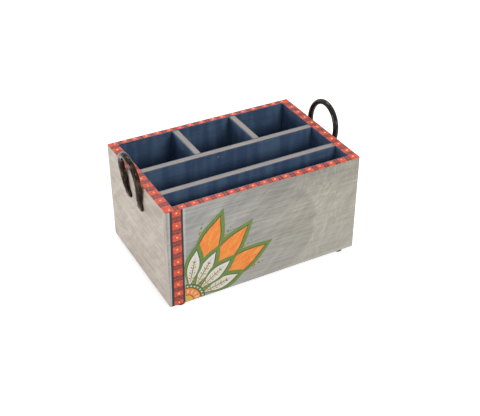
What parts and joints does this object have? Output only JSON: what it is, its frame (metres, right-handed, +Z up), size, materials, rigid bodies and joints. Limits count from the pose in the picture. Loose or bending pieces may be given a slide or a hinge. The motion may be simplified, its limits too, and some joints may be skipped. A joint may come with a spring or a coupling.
{
  "type": "cutlery organizer",
  "caption": "Open painted wooden cutlery organizer with long bays at the front, square cells at the rear, upright iron loop handles on its ends and button feet.",
  "frame": {"origin": "on the table, under the centre of the wooden box", "axes": "+X along the box to the right, -Y towards the front panel, +Z up"},
  "size_m": [0.2771, 0.171, 0.169],
  "materials": {
    "grey_painted_wood": "brushed grey wash paint, satin, with a red patterned border",
    "navy_painted_wood": "flat navy paint",
    "divider_painted_wood": "flat navy paint with grey wash on the top edges",
    "black_iron": "forged iron rod, gloss black with a brown tint",
    "blackened_steel": "blackened steel nail heads",
    "dark_rubber": "moulded dark rubber, matt",
    "bright_steel": "plain steel brads and wire nails"
  },
  "bodies": {
    "root": {"front_panel": "grey_painted_wood", "back_panel": "grey_painted_wood", "left_end_panel": "grey_painted_wood", "right_end_panel": "grey_painted_wood", "base_panel": "navy_painted_wood", "front_long_divider": "divider_painted_wood", "rear_long_divider": "divider_painted_wood", "left_cell_divider": "divider_painted_wood", "right_cell_divider": "divider_painted_wood", "left_handle": "black_iron", "right_handle": "black_iron", "left_handle_nails": "blackened_steel", "right_handle_nails": "blackened_steel", "front_left_foot": "dark_rubber", "front_right_foot": "dark_rubber", "rear_left_foot": "dark_rubber", "rear_right_foot": "dark_rubber", "foot_nails": "bright_steel", "front_panel_brads": "bright_steel", "back_panel_brads": "bright_steel", "base_panel_brads": "bright_steel", "front_divider_brads": "bright_steel", "rear_divider_brads": "bright_steel", "cell_divider_brads": "bright_steel"}
  },
  "joints": []
}
